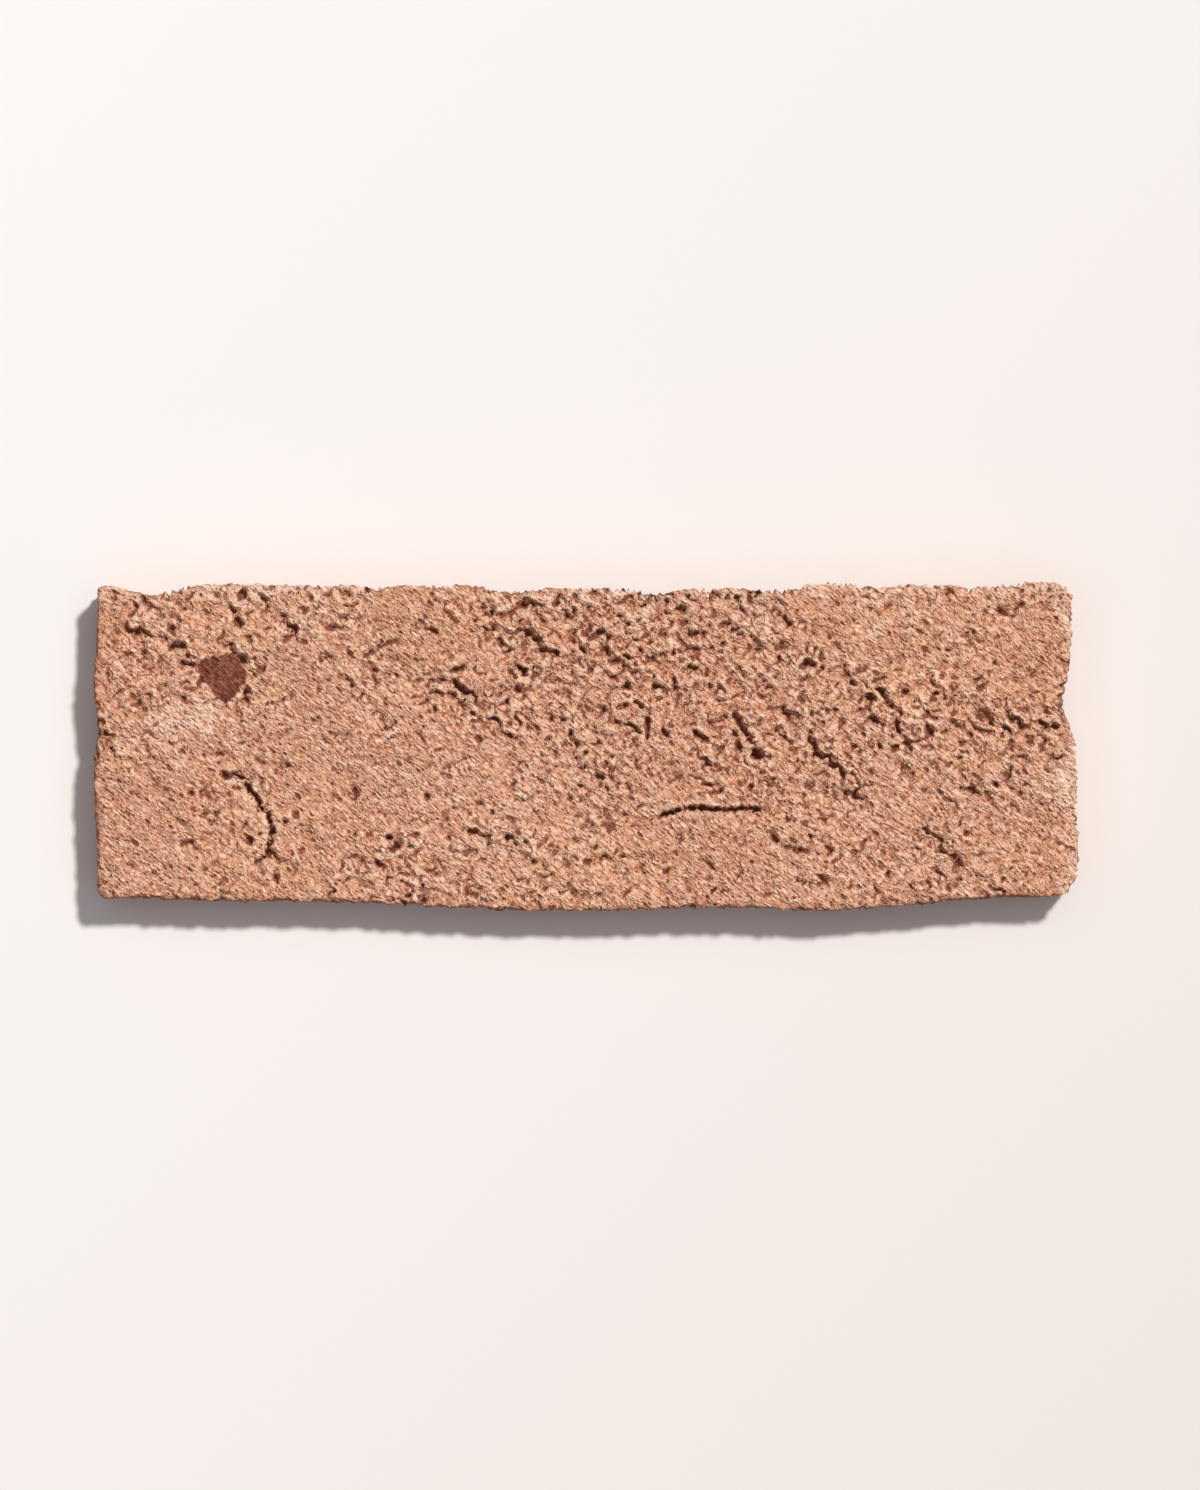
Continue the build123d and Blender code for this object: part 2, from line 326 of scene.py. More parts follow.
# Creases and cracks that the photograph shows: the groove's width and depth, how far the clay on the left
# of the line is raised and how far back that fades, then the pixels that the line runs through
creases = {
    "forkCrack": (0.75, 2.4, -0.25, 3.0, [
        (217.6, 762), (220, 769), (222, 773.5), (227, 778), (231, 775), (237.5, 774), (243, 780),
        (249, 789), (256, 797), (261, 809), (268.6, 816), (270, 823), (272, 832.5), (271, 839),
        (268, 845), (266.7, 855), (262, 859), (256, 863), (255.5, 868), (264, 872),
    ]),
    "forkBranch": (0.6, 0.8, 0.0, 2.5, [(266.7, 856), (270, 860), (273, 864)]),
    "forkHead": (0.9, 0.8, 0.25, 2.5, [(200, 750), (205, 755), (214, 754), (227, 753.6)]),
    "forkTwig": (0.8, 0.6, 0.0, 2.5, [(217.6, 747), (223, 741)]),
    "flapRim": (0.8, 0.8, 0.3, 2.5, [(202, 813), (208, 814), (217, 813)]),
    "flapFold": (0.8, 0.8, 0.2, 2.5, [(205, 818), (209.6, 821.6), (214.4, 819), (216.8, 813), (222, 809)]),
    "gougeLow": (1.0, 0.9, 0.0, 2.5, [(187, 792), (194, 796)]),
    "gougeHigh": (1.0, 0.7, 0.0, 2.5, [(201.6, 791), (208, 797), (216, 802)]),
    "bedCrack": (0.85, 2.4, 0.35, 2.5, [
        (650, 820), (656, 818), (662.5, 814.6), (672, 812.5), (681.6, 809.4), (691, 808), (699, 808),
        (710, 809), (723, 809.7), (736, 809.7), (745, 808), (758, 809.4), (771, 809.7),
    ]),
    "bedCrackLeft": (0.8, 0.6, 0.0, 2.5, [
        (607, 812.5), (618, 813), (629, 815.7), (638.6, 818), (650, 820),
    ]),
    "bedCrackUnder": (0.8, 0.5, 0.0, 2.5, [(629, 824.5), (640, 826), (648, 831)]),
    "bedCrackRight": (0.7, 0.5, 0.0, 2.5, [(771.7, 810), (775.7, 819.7), (782, 822)]),
    "archRight": (1.0, 0.7, 0.3, 2.5, [(782, 822), (790, 819), (799, 823)]),
    "hollowRight": (1.3, 0.9, 0.3, 4.0, [(768, 834), (777, 842), (793, 850), (804, 851), (820, 855.6)]),
    "hookScar": (0.8, 0.7, 0.2, 2.5, [(726, 831), (739, 843.6), (742, 854)]),
    "bigGouge": (1.5, 1.3, 0.4, 4.0, [
        (731, 709), (737, 718.5), (745, 733), (752, 744), (755, 756), (768, 760),
    ]),
    "gougeTwin": (1.1, 1.0, 0.0, 2.5, [(733, 730), (737, 739), (741, 751)]),
    "slitOne": (0.8, 1.2, 0.0, 2.5, [(569, 730), (572, 744)]),
    "slitTwo": (0.9, 1.2, 0.0, 2.5, [(564.4, 740), (564.4, 747)]),
    "slitThree": (0.8, 1.0, 0.0, 2.5, [(571, 740), (577, 746), (578, 752)]),
    "slitFour": (0.7, 0.8, 0.0, 2.5, [(575.5, 754), (578.7, 764.7)]),
    "foldRidge": (1.0, 0.8, 0.5, 2.5, [(267, 612), (267, 604), (262, 598), (256, 593)]),
    "hookOne": (1.2, 1.1, -0.3, 2.5, [(425.7, 690), (428, 686), (432, 683), (440, 680)]),
    "hookTwo": (0.9, 0.7, 0.0, 2.5, [(411, 684), (416, 681), (424, 679)]),
    "hookThree": (1.0, 1.0, -0.5, 4.0, [
        (449.6, 672), (453.6, 679), (457.6, 686.6), (467, 693), (472, 697),
    ]),
    "hookDark": (1.2, 1.1, 0.0, 2.5, [(450, 671), (456, 669), (461, 668)]),
    "creaseA": (1.0, 0.9, 0.0, 2.5, [(422, 627), (427, 628.5), (432, 630), (438.4, 635.6)]),
    "creaseB": (0.8, 0.5, 0.0, 2.5, [(411, 626), (418, 628), (424, 630)]),
    "creaseC": (1.2, 0.9, 0.3, 2.5, [
        (358, 652), (365, 655), (372, 652), (382.6, 645), (394, 641), (402, 643),
    ]),
    "creaseD": (1.0, 0.9, 0.0, 2.5, [(430, 592), (435, 600.5), (441.6, 604)]),
    "creaseE": (1.1, 0.9, 0.0, 2.5, [(449, 596), (457.6, 605), (461, 610), (463, 614)]),
    "creaseF": (1.2, 1.0, 0.3, 2.5, [(440, 611), (449.6, 614), (453, 620), (460.7, 623)]),
    "creaseG": (1.4, 1.1, 0.5, 4.0, [(486, 614), (495, 615.5), (502, 615), (512, 611), (520, 605)]),
    "creaseH": (1.2, 1.0, 0.2, 2.5, [(488, 624), (494, 627), (500, 635)]),
    "creaseI": (1.0, 1.1, 0.0, 2.5, [(495, 638), (500, 642), (503, 647.5)]),
    "creaseJ": (1.0, 0.7, 0.0, 2.5, [(471, 619), (480, 621), (487, 619)]),
    "creaseK": (1.2, 0.9, 0.3, 2.5, [(520, 605), (530, 603), (540, 606), (548, 613), (556, 612)]),
    "creaseL": (1.1, 0.9, 0.0, 2.5, [(510, 634), (520, 629), (530, 633), (540, 640)]),
    "creaseM": (1.0, 0.9, 0.0, 2.5, [(525, 665), (532, 659)]),
    "creaseN": (1.0, 1.0, 0.0, 2.5, [(498, 684), (504, 690)]),
    "creaseO": (1.2, 0.9, 0.0, 2.5, [(508, 689), (520, 690), (534, 689)]),
    "creaseP": (1.1, 1.0, 0.3, 2.5, [(572, 640), (580, 646), (588, 656)]),
    "creaseQ": (1.2, 0.9, -0.3, 2.5, [(610, 672), (622, 688), (634, 691)]),
    "creaseR": (1.1, 0.9, 0.5, 5.0, [(642, 661), (655, 657), (668, 654), (684, 650), (700, 648)]),
    "creaseS": (0.9, 0.8, 0.0, 2.5, [(616, 708), (626, 706), (634, 702)]),
    "creaseT": (0.7, 0.5, 0.0, 2.5, [(440, 772), (452, 766), (462, 760)]),
    "creaseU": (0.9, 0.5, 0.2, 2.5, [(384, 798), (396, 796), (410, 793)]),
    "creaseV": (1.1, 0.8, 0.0, 2.5, [(596, 784), (604, 788), (616, 789)]),
    "creaseW": (1.0, 0.8, 0.3, 2.5, [(330, 886), (345, 878), (358, 880), (370, 890)]),
    "creaseX": (1.2, 0.7, 0.0, 2.5, [(285, 858), (296, 852), (304, 848)]),
    "creaseY": (1.2, 0.8, 0.0, 2.5, [(374, 860), (380, 866), (388, 868)]),
    "creaseZ": (0.8, 0.7, 0.0, 2.5, [(514, 842), (520, 852), (524, 860)]),
    "scoreA": (0.9, 0.7, 0.0, 2.5, [(793, 754), (803, 756), (815, 754), (824, 750)]),
    "scoreB": (0.9, 0.6, 0.0, 2.5, [(790, 844), (800, 849), (812, 852)]),
    "scoreC": (1.1, 0.9, 0.3, 2.5, [(790, 878), (805, 882), (822, 884)]),
    "scoreD": (1.0, 0.6, 0.0, 2.5, [(850, 796), (860, 800), (868, 798)]),
    "scoreE": (1.2, 0.7, 0.3, 2.5, [(842, 793), (850, 803), (866, 808), (872, 800)]),
    "scoreF": (0.9, 0.7, 0.0, 2.5, [(896, 620), (902, 628), (912, 626)]),
    "scoreG": (1.0, 0.6, 0.0, 2.5, [(888, 605), (900, 607), (910, 604)]),
    "scoreH": (0.8, 0.5, 0.0, 2.5, [(1030, 800), (1046, 806)]),
    "scoreI": (0.8, 0.7, 0.0, 2.5, [(250, 678), (262, 674), (278, 668)]),
    "scoreJ": (0.9, 0.7, 0.0, 2.5, [(262, 704), (278, 702), (292, 696)]),
    "scoreK": (0.7, 0.4, 0.0, 2.5, [(172, 650), (186, 644), (200, 634)]),
    "scoreL": (1.2, 0.6, -0.3, 2.5, [(140, 664), (150, 672), (160, 676)]),
}

# Deep round or oval hollows: pixels, across and along in mm, turn in degrees, depth
hollows = {
    "slotPit": (647, 728, 1.3, 4.8, 0, 1.9),
    "conePit": (237, 623, 2.0, 2.6, 12, 1.6),
    "conePitTop": (238, 612, 1.6, 2.2, 0, 0.6),
    "gougeEnd": (756, 754, 2.4, 2.2, 30, 1.3),
    "gougeTwinEnd": (738, 747, 1.4, 2.6, 15, 1.2),
    "hollowDeep": (774, 836, 1.8, 2.6, 40, 1.0),
    "scarPocket": (199, 682, 0.9, 2.0, -30, 1.3),
    "scarNotch": (243, 660, 1.2, 2.2, 40, 1.0),
    "scarFlank": (262, 668, 1.4, 2.0, 0, 0.9),
    "edgePit": (104, 730, 0.9, 2.0, 15, 1.0),
    "pinLeft": (285, 822, 0.9, 0.9, 0, 1.2),
    "pinMid": (427, 797, 1.4, 1.6, 0, 1.1),
    "ovalMid": (478, 739, 1.6, 2.0, 40, 0.9),
    "ovalRight": (548, 738, 1.5, 1.7, 0, 0.9),
    "dropLeft": (356, 792, 1.5, 2.6, 30, 0.9),
    "cornerPit": (1020, 606, 1.5, 1.5, 0, 0.9),
    "cornerGouge": (1002, 612, 1.4, 2.4, 60, 1.1),
    "rightPitA": (1030, 740, 1.6, 2.4, 30, 1.2),
    "rightPitB": (970, 735, 1.2, 2.4, 60, 1.0),
    "rightPitC": (966, 834, 1.2, 1.5, 0, 1.0),
    "rightPitD": (905, 692, 1.3, 1.9, 40, 0.9),
    "rightPitE": (1012, 722, 1.2, 2.0, 30, 0.9),
    "upperPitA": (614, 660, 2.2, 3.4, 45, 0.9),
    "upperPitB": (676, 622, 2.6, 2.2, 0, 0.8),
    "upperPitC": (720, 640, 2.0, 3.0, 20, 0.9),
    "lowOvalA": (542, 782, 2.0, 1.6, 0, 0.8),
    "lowOvalB": (565, 786, 1.6, 2.2, 30, 0.7),
    "mossPit": (745, 843, 1.2, 2.2, 25, 0.7),
    "scoopTop": (330, 628, 1.6, 2.6, 60, 0.9),
    "scoopMid": (492, 812, 1.2, 1.4, 0, 0.7),
    "stoneSide": (688, 886, 2.0, 2.6, 20, 0.8),
    "cornerChip": (97, 899, 3.2, 5.0, 45, 1.8),
}

scar = {
    "rim": [
        (195, 664), (201.6, 659.5), (211, 656), (222, 655), (232, 651.5), (238, 656), (243, 664),
        (247, 674), (245.5, 683), (238, 691), (232, 699), (224, 702.6), (217.6, 701), (213, 694.6),
        (208, 685), (201.6, 682), (198, 674),
    ],
    "depth": 0.75,
    "bank": 0.7,                # the width of its sloping wall
    "fray": 0.25,               # how far its outline strays
}

relief = {
    "turn": -40.0,              # degrees: the clay was torn along lines that run down to the right
    "stretch": 1.9,             # how much longer its plates are that way
    "shed": 1.1,                # how much each plate rises to the lower left, where it breaks off
    "slabs": [                  # how wide the slabs are, how unevenly they stand, how deep the gaps between
        (8.0, 0.40, 0.30), (3.9, 0.40, 0.38), (2.0, 0.32, 0.32),
    ],
    "stand": (0.30, 1.15),      # how much of that shows where the face is smooth, and where it is rough
    "wander": 0.16,             # how far a slab's outline strays, as a share of its width
    "dome": 0.30,
    "gapHalf": 0.40,            # half the width of the gaps
    "crown": 0.22,              # how far the tops stand over the plain face
    "swell": 0.12,
    "warp": 0.7,                # how far the whole pattern strays, in wide bends and in small ones
    "smallWarp": 0.10,
    "grain": 0.035,
    "fray": 0.24,               # how far the lines of the creases stray
    "kept": (0.16, 0.90),       # how many of the small marks stay, where it is smooth and where it is rough
    "soften": 0.10,             # takes off what is finer than the mesh
}

# Small marks scattered over the face: how many are tried, how wide each half is, how many times longer it
# is than wide, how deep, how high its lower lip stands, and how square its walls are
marks = {
    "scoops": {
        "count": 200, "half": (0.8, 2.0), "ratio": (1.0, 1.9), "depth": (0.15, 0.45), "lip": 0.0,
        "walls": 3.0,
    },
    "tears": {
        "count": 2500, "half": (0.24, 0.40), "ratio": (2.5, 7.5), "depth": (0.25, 0.75), "lip": 0.18,
        "walls": 2.6,
    },
    "pits": {
        "count": 2300, "half": (0.25, 0.46), "ratio": (1.0, 1.9), "depth": (0.30, 0.85), "lip": 0.0,
        "walls": 3.5,
    },
}


def nearPath(x, y, points, reach, frayedX=None, frayedY=None):
    # for a window of the grid round a path: distance to it, which side, and how far along, from 0 to 1
    path = np.array([fromPhoto(*point) for point in points])
    lowX, lowY = path.min(0) - reach
    highX, highY = path.max(0) + reach
    columns = np.flatnonzero((x[0] >= lowX) & (x[0] <= highX))
    rows = np.flatnonzero((y[:, 0] >= lowY) & (y[:, 0] <= highY))
    window = (slice(rows[0], rows[-1] + 1), slice(columns[0], columns[-1] + 1))
    wx, wy = (x[window], y[window]) if frayedX is None else (frayedX[window], frayedY[window])
    lengths = np.hypot(*np.diff(path, axis=0).T)
    walked = np.concatenate([[0], np.cumsum(lengths)])
    distance = np.full(wx.shape, 1e3)
    side = np.zeros(wx.shape)
    along = np.zeros(wx.shape)
    for i, length in enumerate(lengths):
        (ax, ay), (bx, by) = path[i], path[i + 1]
        dx, dy = (bx - ax) / length, (by - ay) / length
        t = np.clip((wx - ax) * dx + (wy - ay) * dy, 0, length)
        away = np.hypot(wx - ax - t * dx, wy - ay - t * dy)
        closer = away < distance
        distance = np.where(closer, away, distance)
        side = np.where(closer, dx * (wy - ay) - dy * (wx - ax), side)
        along = np.where(closer, (walked[i] + t) / walked[-1], along)
    return window, distance, np.sign(side), along


def pressCreases(height, x, y, frayedX, frayedY):
    for width, depth, lift, reach, path in creases.values():
        window, distance, side, along = nearPath(x, y, path, 3 * reach, frayedX, frayedY)
        taper = np.clip(np.sin(math.pi * np.clip(along, 0.04, 0.96)) * 2.2, 0.0, 1.0)
        uneven = width * (0.46 + 0.16 * np.sin(41 * along + 3) * np.sin(17 * along))
        groove = -depth * taper * np.exp(-(distance / uneven) ** 2.6)
        raised = lift * taper * eased(side * distance, -0.15, 0.35) * np.exp(-distance / reach)
        height[window] += groove + raised


def pressHollows(height, x, y):
    for px, py, across, along, turn, depth in hollows.values():
        cx, cy = fromPhoto(px, py)
        angle = math.radians(turn)
        u = (x - cx) * math.cos(angle) + (y - cy) * math.sin(angle)
        v = (y - cy) * math.cos(angle) - (x - cx) * math.sin(angle)
        away = np.hypot(u / (across / 2), v / (along / 2))
        height -= depth * np.exp(-away ** 3.5)


def scarMask(x, y):
    # 1 inside the burnt patch, falling to 0 across its bank
    window, distance, _, _ = nearPath(x, y, scar["rim"] + scar["rim"][:1], 3.0)
    points = np.array([fromPhoto(*p) for p in scar["rim"]])
    wx, wy = x[window], y[window]
    inside = np.zeros(wx.shape, bool)
    for (ax, ay), (bx, by) in zip(points, np.roll(points, -1, 0)):
        crosses = (ay > wy) != (by > wy)
        slope = (bx - ax) / (by - ay if by != ay else 1e-9)
        inside ^= crosses & (wx < ax + (wy - ay) * slope)
    signed = np.where(inside, distance, -distance)
    mask = np.zeros(x.shape)
    mask[window] = eased(signed, -scar["bank"] * 0.3, scar["bank"] * 0.7)
    return mask


def scatterMarks(height, wx, wy, rough, mark, seed):
    # more of them where the face is rough, in warped space so that none is regular
    rng = np.random.default_rng(seed)
    rows, columns = height.shape
    for _ in range(mark["count"]):
        i, j = rng.integers(0, rows), rng.integers(0, columns)
        half = between(mark["half"], rng.random() ** 2.2)
        ratio = between(mark["ratio"], rng.random() ** 1.5)
        depth = between(mark["depth"], rng.random() ** 1.6)
        angle, bend, keep = rng.normal(-0.7, 0.5), rng.normal(0.0, 0.12), rng.random()
        if keep > between(relief["kept"], rough[i, j]):
            continue
        n = int(half * ratio * 1.6 / grid["step"]) + 4
        window = (slice(max(i - n, 0), i + n + 1), slice(max(j - n, 0), j + n + 1))
        dx, dy = wx[window] - wx[i, j], wy[window] - wy[i, j]
        u = (dx * math.cos(angle) + dy * math.sin(angle)) / (half * ratio)
        v = (dy * math.cos(angle) - dx * math.sin(angle)) / half + bend * ratio * u * u
        height[window] -= depth * np.exp(-(u * u + v * v) ** (mark["walls"] / 2))
        if mark["lip"]:
            height[window] -= mark["lip"] * np.sign(v) * np.exp(-u * u * 1.5) * np.exp(-np.abs(v) / 3.0)


def brokenSlabs(x, y, rough, noise, size, rise, gap, seed):
    # slabs of clay that lie unevenly against each other, drawn out the way the clay was torn
    angle = math.radians(relief["turn"])
    u = (x * math.cos(angle) + y * math.sin(angle)) / relief["stretch"]
    v = y * math.cos(angle) - x * math.sin(angle)
    wander = relief["wander"] * size
    u = u + wander * noise(3 * size, 0.8 * size, seed)
    v = v + wander * noise(3 * size, 0.8 * size, seed + 1)
    near, second, lift = clayCells(u, v, size, seed + 2, relief["shed"])
    away = (second - near) * size / 2
    opening = eased(noise(4 * size, 1.2 * size, seed + 3), -0.2, 1.2)
    slab = rise * (lift - relief["dome"] * near ** 2)
    groove = gap * opening * np.exp(-(away / relief["gapHalf"]) ** 2)
    return between(relief["stand"], rough) * (slab - groove)


def faceRelief():
    # the height of the torn, sanded clay over the plain face, where it is rough and where it is burnt
    x, y = reliefGrid()

    def noise(widest, finest, seed):
        return softNoise(x.shape, grid["step"], widest, finest, seed)

    def strayed(across, widest, finest, seed):
        return x + across * noise(widest, finest, seed), y + across * noise(widest, finest, seed + 1)

    rough = spots(x, y, zones["rough"]) - spots(x, y, zones["smooth"]) + 0.22 * noise(40, 12, 11)
    rough = eased(rough, -0.8, 1.0)
    wx = x + relief["warp"] * noise(12, 4, 21) + relief["smallWarp"] * noise(3, 1.2, 22)
    wy = y + relief["warp"] * noise(12, 4, 23) + relief["smallWarp"] * noise(3, 1.2, 24)

    height = relief["swell"] * noise(14, 6, 41) * (0.4 + rough)
    for i, (size, rise, gap) in enumerate(relief["slabs"]):
        height += brokenSlabs(wx, wy, rough, noise, size, rise, gap, 100 + 10 * i)
    height += relief["grain"] * noise(1.4, 0.6, 43)
    height += relief["crown"] - np.quantile(height, 0.95)
    for i, mark in enumerate(marks.values()):
        scatterMarks(height, wx, wy, rough, mark, 51 + i)

    burnt = scarMask(*strayed(scar["fray"], 2.5, 0.8, 61))
    height = height * (1 - 0.6 * burnt) - scar["depth"] * burnt
    pressHollows(height, x, y)
    pressCreases(height, x, y, *strayed(relief["fray"], 2.4, 0.6, 63))
    height = blurred(height, grid["step"], relief["soften"])
    return SimpleNamespace(height=height, rough=rough, burnt=burnt)


# The sides: sanded clay that was drawn down the mould's walls, on a grid of place round the tile and height

side = {
    "step": 0.3,
    "waves": 0.16,
    "lumps": 0.22,
    "lumpSize": 2.6,
    "crack": 0.10,              # half the width of the cracks between lumps, as a share of their size
    "drag": 0.10,
    "dragTurn": 80,             # degrees: nearly straight up
    "grain": 0.05,
}


def sideRelief(around, tall):
    step = side["step"]
    s, z = np.meshgrid(np.arange(0, around, step), np.arange(0, tall + step, step))
    warp = 0.7 * softNoise(s.shape, step, 8, 3, 61)
    height = side["waves"] * softNoise(s.shape, step, 9, 3, 62)
    height += side["drag"] * softNoise(s.shape, step, 3, 1, 63, 3.0, side["dragTurn"])
    near, second, _ = clayCells(s + warp, z + warp, side["lumpSize"], 64)
    opening = eased(softNoise(s.shape, step, 9, 3, 65), 0.2, 1.4)
    crack = opening * np.exp(-((second - near) / side["crack"]) ** 2)
    height -= side["lumps"] * (near ** 2 + 1.6 * crack)
    height += side["grain"] * softNoise(s.shape, step, 1.2, 0.6, 66)
    return height - np.quantile(height, 0.75)


def sampled(field, step, x, y):
    # a grid's value between its points
    i = np.clip(y / step, 0, field.shape[0] - 1.001)
    j = np.clip(x / step, 0, field.shape[1] - 1.001)
    i0, j0 = i.astype(int), j.astype(int)
    di, dj = i - i0, j - j0
    low = field[i0, j0] * (1 - dj) + field[i0, j0 + 1] * dj
    high = field[i0 + 1, j0] * (1 - dj) + field[i0 + 1, j0 + 1] * dj
    return low * (1 - di) + high * di


def onFace(field, px, py):
    # a field of the face's grid, at places on the tile
    margin = grid["margin"]
    return sampled(field, grid["step"], px + (cadHigh.x / mm + margin), py + (cadHigh.y / mm + margin))


# The tile's mesh: a grid over the face, rings round its edge and down its sides, and the sawn back

tile = {
    "node": "facing_tile",
    "columns": 468,             # both in fours, because the back's grid is four times coarser
    "rows": 152,
    "fan": 8.0,                 # the rays that find the sides start this far in, and fan out at corners
    "lowRay": 1.0,              # heights of those rays, under every mark in the face
    "highRay": 12.0,
    "edgeRings": 5,
    "sideRings": 10,
    "arris": 0.4,               # the rubbed edge of the back
    "backInset": 1.6,
    "slack": 0.01,              # how far the mesh stays inside the solid's box
}

# The worn edge round the face, which has crumbled along the tile's upper and right sides
edge = {
    "roll": (0.6, 2.1),         # how far in it starts to fall
    "drop": (0.5, 1.6),         # and how far it falls
    "notch": 1.20,              # how far in the crumbled parts are notched
    "calm": 0.25,               # how much of that the lower and left sides have
    "blend": 25,                # stations over which one passes into the other
    "fade": 11.0,               # how far down the side a notch runs
    "shade": (0.2, 0.9),        # painted shade: how far the sides' dark colour comes over it on the upper and right edges, and on the lower and left ones, which face away from the lamp
    "leftShade": 0.55,          # and painted shade over the face beside the left side, from this far in
    "leftStart": 0.8,
    "dustAndHighlight": 1.5,                # how much pale is painted along the crumbled sides, over what breadth: sand, and painted highlight where they face the lamp
    "dustBreadth": 2.4,
    "dustLow": 8,               # there is none under this height
}

# The face's broad swells are read from the solid with a ray every so often, and its marks left out
plain = {
    "step": 2.0,
    "soft": 2.5,                # how far the readings are evened out
    "mark": 0.12,               # what lies deeper than this is a mark
    "fallen": 1.0,              # and what lies this far under the middle height is the edge
    "pad": 8,
}


def castTree():
    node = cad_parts[tile["node"]]
    return BVHTree.FromObject(node, bpy.context.evaluated_depsgraph_get())


def plainFace(tree):
    x = np.arange(cadLow.x / mm, cadHigh.x / mm + plain["step"], plain["step"])
    y = np.arange(cadLow.y / mm, cadHigh.y / mm + plain["step"], plain["step"])
    high = np.zeros((len(y), len(x)))
    down = Vector((0, 0, -1))
    for i, py in enumerate(y):
        for j, px in enumerate(x):
            hit = tree.ray_cast(Vector((px * mm, py * mm, 2 * cadHigh.z)), down)[0]
            high[i, j] = hit.z / mm if hit else 0.0
    whole = high > np.median(high[high > 0]) - plain["fallen"]
    pad = plain["pad"]
    weight = whole.astype(float)
    for _ in range(3):
        weighed, weights = [
            blurred(np.pad(field, pad), plain["step"], plain["soft"])[pad:-pad, pad:-pad]
            for field in (high * weight, weight)
        ]
        smooth = weighed / np.maximum(weights, 1e-4)
        weight = ((high > smooth - plain["mark"]) & whole).astype(float)
    return smooth


def onPlain(smooth, px, py):
    return sampled(smooth, plain["step"], px - cadLow.x / mm, py - cadLow.y / mm)


def sidePlaces(tree, fromX, fromY, outX, outY, z):
    # how far out the side stands at one height
    reach = np.zeros(len(fromX))
    for i in range(len(fromX)):
        start = Vector((fromX[i] * mm, fromY[i] * mm, z * mm))
        reach[i] = tree.ray_cast(start, Vector((outX[i], outY[i], 0)))[3] / mm
    return reach


def stations(along):
    # places round the tile, from the front left corner and counterclockwise, each with its way out;
    # given how far along each of the four sides they stand, from 0 to 1
    halfX, halfY = cadHigh.x / mm, cadHigh.y / mm
    front, right, back, left = [2 * side - 1 for side in along]
    x = np.concatenate([front, np.ones(len(right)), -back, -np.ones(len(left))]) * halfX
    y = np.concatenate([-np.ones(len(front)), right, np.ones(len(back)), -left]) * halfY
    fromX = np.clip(x, tile["fan"] - halfX, halfX - tile["fan"])
    fromY = np.clip(y, tile["fan"] - halfY, halfY - tile["fan"])
    outX, outY = x - fromX, y - fromY
    length = np.hypot(outX, outY)
    return fromX, fromY, outX / length, outY / length


def evenStations(tree):
    # stations that stand evenly along each side of the face's own edge
    counts = [tile["columns"], tile["rows"], tile["columns"], tile["rows"]]
    along = [np.linspace(0, 1, n + 1)[:-1] for n in counts]
    fromX, fromY, outX, outY = stations(along)
    reach = sidePlaces(tree, fromX, fromY, outX, outY, tile["highRay"]) - edge["roll"][1]
    px, py = fromX + outX * reach, fromY + outY * reach
    steps = np.hypot(np.diff(px, append=px[0]), np.diff(py, append=py[0]))
    starts = np.cumsum([0] + counts)
    even = []
    for k, n in enumerate(counts):
        walked = np.concatenate([[0], np.cumsum(steps[starts[k]:starts[k + 1]])])
        even.append(np.interp(np.linspace(0, walked[-1], n + 1)[:-1], walked, np.linspace(0, 1, n + 1)))
    return stations(even)


def readSides(tree):
    # at each station: where the solid's side stands and how it leans, and how far round the tile that is
    fromX, fromY, outX, outY = evenStations(tree)
    low = sidePlaces(tree, fromX, fromY, outX, outY, tile["lowRay"])
    high = sidePlaces(tree, fromX, fromY, outX, outY, tile["highRay"])
    x, y = fromX + outX * high, fromY + outY * high
    steps = np.hypot(np.diff(x, append=x[0]), np.diff(y, append=y[0]))
    return SimpleNamespace(
        count=len(x), around=steps.sum(), places=np.concatenate([[0], np.cumsum(steps)[:-1]]),
        fromX=fromX, fromY=fromY, outX=outX, outY=outY, edgeX=x, edgeY=y,
        low=low, lean=(high - low) / (tile["highRay"] - tile["lowRay"]),
    )


def crumbledEdge(at):
    # at each station: how far in the notches cut, how far in the edge starts to fall, and how far it falls
    def noise(widest, finest, seed):
        return softNoise((1, at.count), at.around / at.count, widest, finest, seed)[0]

    ragged = np.full(at.count, edge["calm"])
    ragged[tile["columns"]:2 * tile["columns"] + tile["rows"]] = 1.0
    blend = np.ones(edge["blend"]) / edge["blend"]
    ragged = np.convolve(np.tile(ragged, 3), blend, "same")[at.count:2 * at.count]
    patchy = eased(noise(30, 8, 70), -0.9, 0.7)
    teeth = 0.35 * np.maximum(noise(1.6, 0.7, 72), 0) + 0.45 * np.maximum(noise(3.0, 1.0, 71), 0)
    bites = eased(noise(6.0, 1.4, 75), 0.8, 1.4)
    notch = edge["notch"] * ragged * (0.15 + (teeth + bites) * patchy)
    roll = between(edge["roll"], eased(noise(25, 6, 73), -2, 2))
    drop = between(edge["drop"], eased(noise(18, 5, 74), -2, 2))
    return notch, roll, drop


